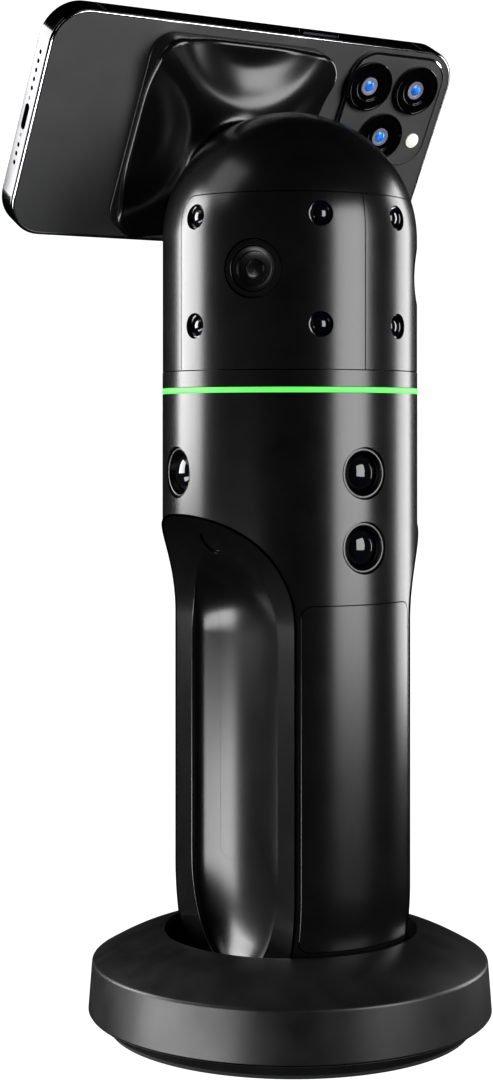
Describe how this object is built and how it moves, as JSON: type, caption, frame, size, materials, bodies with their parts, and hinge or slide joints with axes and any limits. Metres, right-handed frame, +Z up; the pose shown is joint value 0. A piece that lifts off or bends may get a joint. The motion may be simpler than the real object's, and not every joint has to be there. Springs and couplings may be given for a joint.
{
  "type": "handheld imaging scanner",
  "caption": "Upright handheld imaging scanner with domed sensor head and scooped grip, in a round charging dock, with a phone on its tilted magnetic mount.",
  "frame": {"origin": "centre of the dock's underside, on the surface it stands on", "axes": "+Z up; the scanner's front, with its two stacked cameras, faces -Y; the phone is behind, its camera end towards +X"},
  "size_m": [0.1574, 0.1306, 0.3207],
  "materials": {
    "body_satin": "satin, very fine grain",
    "door_satin": "satin",
    "grip_gloss": "polished",
    "window_gloss": "polished, dark",
    "button_gloss": "polished",
    "dock_satin": "satin, fine grain",
    "dock_plate": "fine grain",
    "foot_rubber": "matt",
    "ballast_steel": "plain",
    "board_green": "lacquered circuit board",
    "contact_brass": "polished",
    "barrel_black": "satin",
    "lens_glass": "polished lens",
    "light_green": "glowing diffuser",
    "battery_grey": "matt",
    "chassis_metal": "machined",
    "phone_metal": "polished steel",
    "phone_glass": "frosted glass",
    "phone_lens": "lens",
    "phone_display": "polished"
  },
  "bodies": {
    "dock": {"dock_shell": "dock_satin", "dock_base_plate": "dock_plate", "dock_foot": "foot_rubber", "dock_ballast": "ballast_steel", "dock_board": "board_green", "dock_power_inlet": "ballast_steel", "left_dock_contact": "contact_brass", "right_dock_contact": "contact_brass"},
    "scanner": {"body_shell": "body_satin", "head_shell": "body_satin", "mount_arm": "body_satin", "right_grip_panel": "grip_gloss", "left_grip_panel": "grip_gloss", "right_window": "window_gloss", "left_window": "window_gloss", "mount_plate": "dock_satin", "magnet_ring": "ballast_steel", "light_ring_board": "board_green", "main_board": "board_green", "left_depth_board": "board_green", "right_depth_board": "board_green", "left_contact_pad": "contact_brass", "right_contact_pad": "contact_brass", "front_upper_camera_barrel": "barrel_black", "front_lower_camera_barrel": "barrel_black", "left_camera_barrel": "barrel_black", "right_camera_barrel": "barrel_black", "left_depth_bezel": "barrel_black", "right_depth_bezel": "barrel_black", "battery_connector": "barrel_black", "front_upper_camera_lens": "lens_glass", "front_lower_camera_lens": "lens_glass", "left_camera_lens": "lens_glass", "right_camera_lens": "lens_glass", "left_depth_lens": "lens_glass", "right_depth_lens": "lens_glass", "left_emitter_front_lower": "lens_glass", "left_emitter_front_upper": "lens_glass", "left_emitter_rear_lower": "lens_glass", "left_emitter_rear_upper": "lens_glass", "right_emitter_front_lower": "lens_glass", "right_emitter_front_upper": "lens_glass", "right_emitter_rear_lower": "lens_glass", "right_emitter_rear_upper": "lens_glass", "light_ring": "light_green", "chassis": "chassis_metal"},
    "front_door": {"front_door": "door_satin"},
    "battery": {"battery_pack": "battery_grey"},
    "power_button": {"power_button": "button_gloss"},
    "phone": {"phone_frame": "phone_metal", "phone_back_glass": "phone_glass", "phone_screen": "phone_display", "phone_battery": "battery_grey", "phone_camera_plateau": "phone_glass", "phone_lens_1": "phone_lens", "phone_lens_2": "phone_lens", "phone_lens_3": "phone_lens"},
    "phone_side_button": {"phone_side_button": "phone_metal"},
    "phone_volume_up": {"phone_volume_up": "phone_metal"},
    "phone_volume_down": {"phone_volume_down": "phone_metal"}
  },
  "joints": [
    {"name": "scanner_lift", "type": "slide", "parent": "dock", "child": "scanner", "axis": [0, 0, 1], "range_m": [0, 0.06]},
    {"name": "door_pull", "type": "slide", "parent": "scanner", "child": "front_door", "axis": [0, -1, 0], "range_m": [0, 0.09]},
    {"name": "battery_pull", "type": "slide", "parent": "scanner", "child": "battery", "axis": [0, -1, 0], "range_m": [0, 0.045]},
    {"name": "button_press", "type": "slide", "parent": "scanner", "child": "power_button", "axis": [0.7806, 0, 0.625], "range_m": [0, 0.0008], "stiffness_N_per_m": 1500},
    {"name": "phone_pull", "type": "slide", "parent": "scanner", "child": "phone", "axis": [0, 0.8746, 0.4848], "range_m": [0, 0.05]},
    {"name": "side_button_press", "type": "slide", "parent": "phone", "child": "phone_side_button", "axis": [0, 0.4848, -0.8746], "range_m": [0, 0.0003], "stiffness_N_per_m": 1500},
    {"name": "volume_up_press", "type": "slide", "parent": "phone", "child": "phone_volume_up", "axis": [0, -0.4848, 0.8746], "range_m": [0, 0.0003], "stiffness_N_per_m": 1500},
    {"name": "volume_down_press", "type": "slide", "parent": "phone", "child": "phone_volume_down", "axis": [0, -0.4848, 0.8746], "range_m": [0, 0.0003], "stiffness_N_per_m": 1500}
  ],
  "couplings": [
    {"joint": "battery_pull", "follows": "door_pull", "ratio": 0.5}
  ]
}
